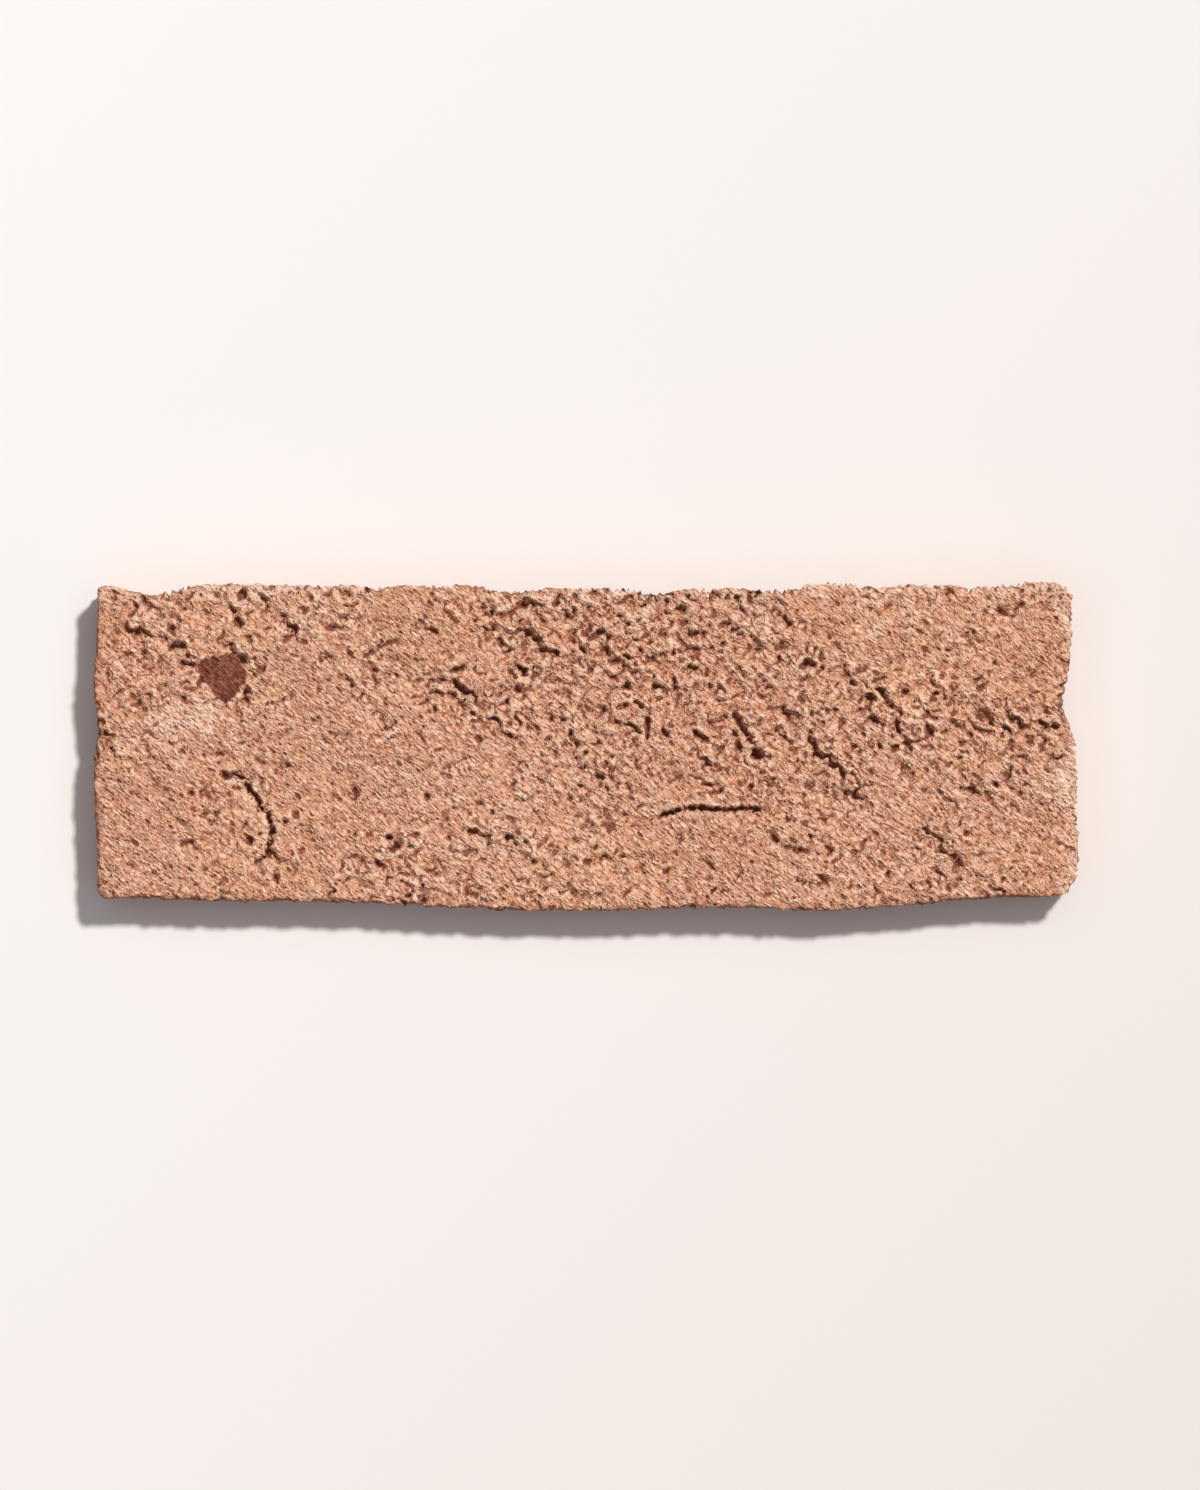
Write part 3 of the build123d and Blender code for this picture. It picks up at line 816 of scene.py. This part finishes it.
def ringsOf(at, smooth, height, sides):
    # closed rings of points, from the border of the face's grid over the worn edge and down to the back
    def onSides(z):
        return sampled(sides, side["step"], at.places, z)

    notch, roll, drop = crumbledEdge(at)
    shoulder = onPlain(smooth, at.edgeX, at.edgeY) - drop
    rings = []
    for k in range(tile["edgeRings"], -1, -1):
        turn = math.pi / 2 * k / tile["edgeRings"]
        over = shoulder + drop * math.sin(turn) - tile["lowRay"]
        reach = at.low + at.lean * over - roll * (1 - math.cos(turn))
        px, py = at.fromX + at.outX * reach, at.fromY + at.outY * reach
        z = onPlain(smooth, px, py) - drop * (1 - math.sin(turn))
        z += onFace(height, px, py) * math.sin(turn) ** 2
        out = (onSides(z) - notch) * math.cos(turn) ** 2
        rings.append((px + at.outX * out, py + at.outY * out, z))
    for k in range(1, tile["sideRings"] + 1):
        share = (k / tile["sideRings"]) ** 1.15
        z = shoulder * (1 - share) + tile["arris"] * share
        reach = at.low + at.lean * (z - tile["lowRay"])
        reach += onSides(z) * eased(z, 0.2, 3.0) - notch * np.exp(-(shoulder - z) / edge["fade"])
        rings.append((at.fromX + at.outX * reach, at.fromY + at.outY * reach, z))
    px, py, _ = rings[-1]
    rings.append((px - at.outX * tile["arris"], py - at.outY * tile["arris"], np.zeros(at.count)))
    return rings


def coonsPatch(ringX, columns, rows):
    # a grid stretched between the four sides of a ring
    u = np.linspace(0, 1, columns + 1)[None, :]
    v = np.linspace(0, 1, rows + 1)[:, None]
    front = ringX[:columns + 1][None, :]
    right = ringX[columns:columns + rows + 1][:, None]
    back = ringX[columns + rows:2 * columns + rows + 1][::-1][None, :]
    left = np.append(ringX[2 * columns + rows:], ringX[0])[::-1][:, None]
    corners = (
        (1 - u) * (1 - v) * ringX[0] + u * (1 - v) * ringX[columns]
        + u * v * ringX[columns + rows] + (1 - u) * v * ringX[2 * columns + rows]
    )
    return (1 - v) * front + v * back + (1 - u) * left + u * right - corners


def patchIndex(ring, first, columns, rows):
    # vertex numbers of such a grid, whose outer row is the ring's own vertices
    index = np.zeros((rows + 1, columns + 1), int)
    index[0, :] = ring[:columns + 1]
    index[:, -1] = ring[columns:columns + rows + 1]
    index[-1, :] = ring[columns + rows:2 * columns + rows + 1][::-1]
    index[:, 0] = np.append(ring[2 * columns + rows:], ring[0])[::-1]
    index[1:-1, 1:-1] = first + np.arange((rows - 1) * (columns - 1)).reshape(rows - 1, columns - 1)
    return index


def quadsOf(index, flipped=False):
    quads = np.stack([index[:-1, :-1], index[:-1, 1:], index[1:, 1:], index[1:, :-1]], -1).reshape(-1, 4)
    return quads[:, ::-1] if flipped else quads


def sawnBack(backRing, px, py, first):
    # points and faces of a grid four times coarser than the face's, and of the fans round it
    columns, rows = tile["columns"] // 4, tile["rows"] // 4
    ring = first + np.arange(len(px))
    following = np.roll(ring, -1)
    outer = np.append(backRing, backRing[0])
    fans = [np.stack([outer[a:-1:4], ring if a < 2 else following, outer[a + 1::4]], -1) for a in range(4)]
    fans.append(np.stack([ring, following, outer[2:-1:4]], -1))
    inner = np.stack([coonsPatch(px, columns, rows), coonsPatch(py, columns, rows)], -1)[1:-1, 1:-1]
    points = np.concatenate([np.stack([px, py], -1), inner.reshape(-1, 2)])
    quads = quadsOf(patchIndex(ring, first + len(px), columns, rows), True)
    return np.column_stack([points, np.zeros(len(points))]), quads, np.concatenate(fans)


def tileMasks(co, at, ringCount, face, sides):
    # what the clay's colour goes by, at every point of the mesh
    px, py = co[:, 0], co[:, 1]
    firstSide, ringed = at.count * (tile["edgeRings"] + 1), at.count * ringCount
    onTop = np.ones(len(co))
    onTop[firstSide:ringed] = 0.0
    sideDeep = np.zeros(len(co))
    sideFine = sides - blurred(sides, side["step"], 1.0)
    sideDeep[:ringed] = sampled(sideFine, side["step"], np.tile(at.places, ringCount), co[:ringed, 2])

    # painted shade: the sides' colour comes over the worn edge, most on the lower and left edges, away from
    # the lamp, and along the left side of the face
    flankAndEdgeShade = 1.0 - onTop
    shade = np.full(at.count, edge["shade"][1])
    shade[tile["columns"]:2 * tile["columns"] + tile["rows"]] = edge["shade"][0]
    over = np.sin(np.linspace(0, math.pi / 2, tile["edgeRings"] + 1))
    flankAndEdgeShade[:firstSide] = (over[:, None] * shade).ravel()
    fromLeft = np.maximum(px - cadLow.x / mm - edge["leftStart"], 0)
    flankAndEdgeShade = np.maximum(flankAndEdgeShade, edge["leftShade"] * np.exp(-fromLeft))

    fine, broad = [face.height - blurred(face.height, grid["step"], size) for size in (0.7, 2.6)]
    masks = {
        "pitted": np.where(onTop > 0, onFace(fine, px, py), sideDeep) / 0.25,
        "sunken": onTop * onFace(broad, px, py) / 0.6,
        "burnt": onTop * onFace(face.burnt, px, py),
        "flankAndEdgeShade": flankAndEdgeShade,
        "rough": onFace(face.rough, px, py),
        "patch": onFace(softNoise(fine.shape, grid["step"], 26, 5, 81), px, py),
        "mottle": onFace(softNoise(fine.shape, grid["step"], 6, 1.4, 82), px, py),
    }
    for name in ("ochre", "rosy", "dustAndEdgeHighlight"):
        masks[name] = onFace(spots(*reliefGrid(), zones[name]), px, py)
    # pale along the upper and right edges, which face the lamp: partly sand, partly painted highlight
    away = np.maximum(np.minimum(cadHigh.y / mm - py, cadHigh.x / mm - px), 0)
    masks["dustAndEdgeHighlight"] += edge["dustAndHighlight"] * np.exp(-away / edge["dustBreadth"]) * (co[:, 2] > edge["dustLow"])
    return masks


def makeTile():
    columns, rows = tile["columns"], tile["rows"]
    tree = castTree()
    smooth = plainFace(tree)
    face = faceRelief()
    print("relief worked out:", face.height.shape)
    at = readSides(tree)
    sides = sideRelief(at.around, cadHigh.z / mm)
    rings = ringsOf(at, smooth, face.height, sides)
    print("rings", len(rings), "stations", at.count)

    numbers = np.arange(len(rings) * at.count).reshape(len(rings), at.count)
    gridX, gridY = [coonsPatch(ring, columns, rows) for ring in rings[0][:2]]
    gridZ = onPlain(smooth, gridX, gridY) + onFace(face.height, gridX, gridY)
    points = [np.stack(ring, -1) for ring in rings]
    points.append(np.stack([gridX, gridY, gridZ], -1)[1:-1, 1:-1].reshape(-1, 3))
    backX = rings[-1][0][::4] - at.outX[::4] * tile["backInset"]
    backY = rings[-1][1][::4] - at.outY[::4] * tile["backInset"]
    backPoints, backQuads, fans = sawnBack(numbers[-1], backX, backY, sum(len(p) for p in points))
    co = np.concatenate(points + [backPoints])
    slack = tile["slack"]
    co = np.clip(co, np.array(cadLow) / mm + [slack, slack, 0], np.array(cadHigh) / mm - slack)

    faceQuads = quadsOf(patchIndex(numbers[0], numbers.size, columns, rows))
    sideQuads = quadsOf(np.concatenate([numbers, numbers[:, :1]], 1), True)
    quads = np.concatenate([faceQuads, sideQuads, backQuads])
    mesh = bpy.data.meshes.new("tileBody")
    mesh.from_pydata((co * mm).tolist(), [], quads.tolist() + fans.tolist())
    finish = np.zeros(len(mesh.polygons), np.int32)
    finish[len(quads) - len(backQuads):] = 1            # the back and its fans are sawn
    mesh.polygons.foreach_set("material_index", finish)
    mesh.polygons.foreach_set("use_smooth", np.ones(len(mesh.polygons), bool))
    for name, values in tileMasks(co, at, len(rings), face, sides).items():
        mesh.attributes.new(name, "FLOAT", "POINT").data.foreach_set("value", values.astype(np.float32))
    print("tile mesh:", len(mesh.vertices), "points,", 2 * len(quads) + len(fans), "triangles")
    return mesh


# Finishes

clay = {
    "base": "#DFAE90",          # salmon terracotta, as fired
    "pink": "#DFB096",
    "ochre": "#E4AD80",
    "red": "#CC8763",
    "struck": "#C4937A",        # where the mould's wall left the face smooth
    "pale": "#FADCC6",          # moulding sand and dust left in the clay, and painted highlight on crests, clot tops and the upper and right edges
    "paintedPitShade": "#6C2408",          # painted shade inside pits, hollows, gaps between grains and small holes
    "flankAndEdgeShade": "#9A6046",         # the sides, where the clay dragged along the mould; also painted shade over the lower and left edges of the face
    "burnt": "#93614D",
    "burntDark": "#5A332B",
    "roughness": 0.92,
    "specular": 0.25,
    "clot": 0.66,               # sizes in millimetres of what each texture draws
    "grain": 0.46,              # sand grains are nearer 0.4, drawn coarser so that they show
    "grainStretch": 1.9,        # both are drawn out the way the clay was struck
    "clotBump": 0.46,
    "grainBump": 0.46,
    "grit": (0.95, 1.2),        # how much of both bumps shows where the face is smooth, and where rough
    "flakes": [                 # how wide, how much they stand up, lean and rise to their broken edge
        (2.6, 0.20, 0.34, 0.32), (1.15, 0.12, 0.32, 0.38),
    ],
    "broken": (0.35, 1.2),      # how much of them shows, in the same two places
    "flakeWarp": 0.30,          # how far their edges wander
    "flakeDrift": 1.3,          # and over what distance
    "pocks": [                  # spacing of the small holes, radii as shares of it, and depth
        (2.1, (0.10, 0.26), 0.42), (1.25, (0.10, 0.24), 0.26),
    ],
    "pocksKept": (0.50, 0.8),   # how many of them there are, in the same two places
}


def drawnOut(add, place, stretch):
    # places in a space that is turned and drawn out the way the clay was torn
    return add("ShaderNodeMapping", {
        "Vector": place, "Rotation": (0.0, 0.0, math.radians(relief["turn"])), "Scale": (stretch, 1.0, 1.0),
    }, vector_type="TEXTURE")


def clayFlakes(add, place, size, stand, lean, shed):
    # flat flakes with crisp edges, each at its own height and leaning its own way. Like the mesh's slabs
    # they rise to -y and break off there. Gives their height, and a painted shadow along the base of each
    # break.
    scale = perMetre(size)
    cell = add("ShaderNodeTexVoronoi", (place, scale)).node.outputs
    own = add("ShaderNodeVectorMath", (cell["Color"], (0.5, 0.5, 0.5)), operation="SUBTRACT")
    away = add("ShaderNodeVectorMath", (place, cell["Position"]), operation="SUBTRACT")
    tilt, lift, much, rise, upper = [
        add("ShaderNodeVectorMath", pair, operation="DOT_PRODUCT") for pair in (
            (away, own), (own, (stand * mm, 0, 0)), (own, (0, 0, 1)),
            (away, (0, -shed, 0)), (away, (0, scale, 0)),
        )
    ]
    much = add("ShaderNodeMapRange", (much, -0.5, 0.5, 0.3, 1.7))
    height = add("ShaderNodeMath", (tilt, lean, lift), operation="MULTIPLY_ADD")
    height = add("ShaderNodeMath", (rise, much, height), operation="MULTIPLY_ADD")
    # painted shadow: a dark band along the side of each flake that lies under its neighbour's break
    rim = add("ShaderNodeTexVoronoi", (place, scale), feature="DISTANCE_TO_EDGE")
    rim = add("ShaderNodeMapRange", (rim, 0.13, 0.03))
    upper = add("ShaderNodeMapRange", (upper, 0.12, 0.34))
    paintedFootShadow = add("ShaderNodeMath", (rim, upper), operation="MULTIPLY")
    return height, add("ShaderNodeMath", (paintedFootShadow, much), operation="MULTIPLY")


def pockMask(add, place, rough, spacing, radii):
    # small holes, more of them where the face is rough: 1 inside
    distance = add("ShaderNodeTexVoronoi", (place, perMetre(spacing)))
    chance = add("ShaderNodeSeparateColor", (distance.node.outputs["Color"],)).node.outputs
    radius = add("ShaderNodeMapRange", (chance["Green"], 0, 1, *radii))
    inside = add("ShaderNodeMath", (radius, distance), operation="SUBTRACT")
    inside = add("ShaderNodeMapRange", (inside, -0.03, 0.07))
    limit = add("ShaderNodeMapRange", (rough, 0, 1, *clay["pocksKept"]))
    present = add("ShaderNodeMath", (chance["Red"], limit), operation="LESS_THAN")
    return add("ShaderNodeMath", (inside, present), operation="MULTIPLY")


def clayTextures(add, rough):
    # clots, sand grains, flakes and small holes, which both the colour and the bump go by
    place = add("ShaderNodeTexCoord").node.outputs["Object"]
    struck = drawnOut(add, place, clay["grainStretch"])
    clot = add("ShaderNodeTexNoise", {
        "Vector": struck, "Scale": perMetre(clay["clot"]),
        "Detail": 2.0, "Roughness": 0.6, "Distortion": 0.3,
    })
    bead = add("ShaderNodeTexVoronoi", (struck, perMetre(clay["grain"])))
    tint = add("ShaderNodeSeparateColor", (bead.node.outputs["Color"],)).node.outputs

    drift = add("ShaderNodeTexNoise", {
        "Vector": place, "Scale": perMetre(clay["flakeDrift"]), "Detail": 2.0, "Roughness": 0.6,
    }).node.outputs["Color"]
    drift = add("ShaderNodeVectorMath", (drift, (0.5, 0.5, 0.5)), operation="SUBTRACT")
    warp = [clay["flakeWarp"] * 2 * mm] * 3
    wandered = add("ShaderNodeVectorMath", (drift, warp, place), operation="MULTIPLY_ADD")
    torn = drawnOut(add, wandered, relief["stretch"])
    (flakes, paintedFootShadow), (chips, chipFootShadow) = [clayFlakes(add, torn, *flake) for flake in clay["flakes"]]
    broken = add("ShaderNodeMapRange", (rough, 0, 1, *clay["broken"]))
    flakes = add("ShaderNodeMath", (flakes, chips), operation="ADD")
    flakes = add("ShaderNodeMath", (flakes, broken), operation="MULTIPLY")
    paintedFootShadow = add("ShaderNodeMath", (paintedFootShadow, chipFootShadow), operation="MAXIMUM")
    paintedFootShadow = add("ShaderNodeMath", (paintedFootShadow, broken), operation="MULTIPLY")
    holes = [pockMask(add, torn, rough, *pock[:2]) for pock in clay["pocks"]]
    return SimpleNamespace(clot=clot, bead=bead, tint=tint, flakes=flakes, paintedFootShadow=paintedFootShadow, holes=holes)


def clayColour(add, mask, texture):
    # painted shade, darker where the clay lies low: in pits and hollows, between grains and in small holes,
    # with a painted shadow along the base of each flake's break
    gap = add("ShaderNodeMath", (
        add("ShaderNodeMapRange", (texture.clot, 0.50, 0.34)),
        add("ShaderNodeMapRange", (texture.bead, 0.25, 0.6)),
    ), operation="MULTIPLY")
    paintedPitShade = add("ShaderNodeMapRange", (mask["pitted"], -0.2, -1.2))
    sunk = add("ShaderNodeMapRange", (mask["sunken"], -0.2, -1.5, 0, 0.4))
    paintedFootShadow = add("ShaderNodeMapRange", (texture.paintedFootShadow, 0, 1 / 0.75))
    for other in (sunk, gap, paintedFootShadow, *texture.holes):
        paintedPitShade = add("ShaderNodeMath", (paintedPitShade, other), operation="MAXIMUM")

    # painted highlight on its crests and on the clots' tops, among pale grains of sand; pale sand and dust
    # in the pale zones, with painted highlight along the upper and right edges
    crestHighlight = add("ShaderNodeMapRange", (mask["pitted"], 0.2, 1.1, 0, 0.6))
    peakGrainAndHighlight = add("ShaderNodeMath", (
        add("ShaderNodeMapRange", (texture.clot, 0.48, 0.62, 0, 0.8)),
        add("ShaderNodeMapRange", (texture.tint["Red"], 0.2, 0.8)),
    ), operation="MULTIPLY")
    peakGrainAndHighlight = add("ShaderNodeMath", (peakGrainAndHighlight, crestHighlight), operation="MAXIMUM")
    patch = add("ShaderNodeMapRange", (mask["patch"], -1.2, 1.2))
    dustAndEdgeHighlight = add("ShaderNodeMath", (mask["dustAndEdgeHighlight"], patch), operation="ADD")
    scorch = add("ShaderNodeMapRange", (texture.clot, 0.38, 0.62))
    scorch = add("ShaderNodeMix", (scorch, clay["burntDark"], clay["burnt"]), data_type="RGBA")

    # each layer goes over those before it: what its share is read from, and its colour
    layers = [
        ((mask["ochre"], 0, 1 / 0.75), clay["ochre"]),
        ((mask["rosy"], 0, 1 / 0.45), clay["red"]),
        ((mask["mottle"], -1.5, 1.5, 0, 0.35), clay["red"]),
        ((mask["rough"], 0.6, 0, 0, 0.6), clay["struck"]),
        # pale sand and dust in the listed zones, and painted highlight along the upper and right edges
        ((dustAndEdgeHighlight, 0.75, 1.75, 0, 0.6), clay["pale"]),
        # painted highlight on crests and clot tops, among pale sand grains
        ((peakGrainAndHighlight, 0, 1), clay["pale"]),
        ((texture.tint["Green"], 0.6, 1, 0, 0.5), clay["red"]),
        # the sides' colour, and painted shade over the lower and left edges
        ((mask["flankAndEdgeShade"], 0, 1, 0, 0.75), clay["flankAndEdgeShade"]),
        ((mask["burnt"], 0.25, 0.8), scorch),
        # painted shade in pits, hollows, grain gaps and holes, and painted shadow below the flakes' breaks
        ((paintedPitShade, 0, 1, 0, 0.85), clay["paintedPitShade"]),
    ]
    colour = add("ShaderNodeMix", (patch, clay["base"], clay["pink"]), data_type="RGBA")
    for reading, over in layers:
        share = add("ShaderNodeMapRange", reading)
        colour = add("ShaderNodeMix", (share, colour, over), data_type="RGBA")
    return colour


def clayHeight(add, rough, texture):
    # the relief that is finer than the mesh, in metres
    clots = add("ShaderNodeMath", (texture.clot, clay["clotBump"] * mm), operation="MULTIPLY")
    grit = add("ShaderNodeMath", (texture.bead, -clay["grainBump"] * mm, clots), operation="MULTIPLY_ADD")
    much = add("ShaderNodeMapRange", (rough, 0, 1, *clay["grit"]))
    height = add("ShaderNodeMath", (grit, much, texture.flakes), operation="MULTIPLY_ADD")
    for hole, (_, _, depth) in zip(texture.holes, clay["pocks"]):
        height = add("ShaderNodeMath", (hole, -depth * mm, height), operation="MULTIPLY_ADD")
    return height


def firedClay():
    # earthenware pressed into a sanded mould and fired unglazed: dull and granular, with painted highlight
    # that makes its high spots paler and painted shade that makes its pits red-brown
    material, add = newMaterial("firedClaySandStruck")
    mask = {}
    names = ("rough", "pitted", "sunken", "burnt", "flankAndEdgeShade", "ochre", "rosy", "dustAndEdgeHighlight", "patch", "mottle")
    for name in names:
        mask[name] = add("ShaderNodeAttribute", attribute_name=name).node.outputs["Fac"]
    texture = clayTextures(add, mask["rough"])
    height = clayHeight(add, mask["rough"], texture)
    shader = add("ShaderNodeBsdfPrincipled", {
        "Base Color": clayColour(add, mask, texture),
        "Normal": add("ShaderNodeBump", {"Strength": 1.0, "Distance": 1.0, "Height": height}),
        "Roughness": clay["roughness"], "Specular IOR Level": clay["specular"],
    })
    add("ShaderNodeOutputMaterial", (shader,))
    return material


saw = {
    "base": "#CF9C7E",
    "pale": "#E0B79D",
    "red": "#BA7C5E",
    "body": 2.4,                # sizes of the clay's mottling and of its grit
    "grit": 2.0,
    "kerf": 1.6,                # spacing of the blade's marks
    "kerfBump": 0.06,
    "bodyBump": 0.1,
    "roughness": 0.85,
}


def sawnClay():
    # the same clay cut through by a wheel saw: flat, finely scored in parallel, with its grit showing
    material, add = newMaterial("firedClaySawn")
    place = add("ShaderNodeTexCoord").node.outputs["Object"]
    body = add("ShaderNodeTexNoise", {
        "Vector": place, "Scale": perMetre(saw["body"]), "Detail": 5.0, "Roughness": 0.65,
    })
    grit = add("ShaderNodeTexVoronoi", (place, perMetre(saw["grit"])))
    kerf = add("ShaderNodeTexWave", {
        "Vector": place, "Scale": perMetre(saw["kerf"]) * 2 * math.pi / 20,      # a band is 2 pi / 20 wide
        "Distortion": 1.4, "Detail": 3.0, "Detail Scale": 1.5,
    }, wave_type="BANDS", bands_direction="X").node.outputs["Fac"]
    layers = [
        ((body, 0.3, 0.7), saw["base"]),
        ((grit, 0.22, 0.10, 0, 0.6), saw["pale"]),
        ((kerf, 0, 1, 0, 0.18), saw["pale"]),
    ]
    colour = saw["red"]
    for reading, over in layers:
        share = add("ShaderNodeMapRange", reading)
        colour = add("ShaderNodeMix", (share, colour, over), data_type="RGBA")
    scored = add("ShaderNodeBump", {"Strength": 1.0, "Distance": saw["kerfBump"] * mm, "Height": kerf})
    uneven = add("ShaderNodeBump", {
        "Strength": 0.6, "Distance": saw["bodyBump"] * mm, "Height": body, "Normal": scored,
    })
    shader = add("ShaderNodeBsdfPrincipled", {
        "Base Color": colour, "Normal": uneven,
        "Roughness": saw["roughness"], "Specular IOR Level": clay["specular"],
    })
    add("ShaderNodeOutputMaterial", (shader,))
    return material


makeCamera()
makeWorld()
floor = makeFloor()
print("studio ready")
mesh = makeTile()
mesh.materials.append(firedClay())
mesh.materials.append(sawnClay())
tileBody = bpy.data.objects.new("tileBody", mesh)
bpy.context.scene.collection.objects.link(tileBody)
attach(tileBody, "root")
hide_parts(tile["node"])
print("tile finished")
for name, lamp in lamps.items():
    makeLamp(name, lamp, floor if lamp["lit"] == "card" else tileBody)
print("lamps ready")

bpy.context.scene.view_settings.view_transform = "Standard"
bpy.context.view_layer.update()
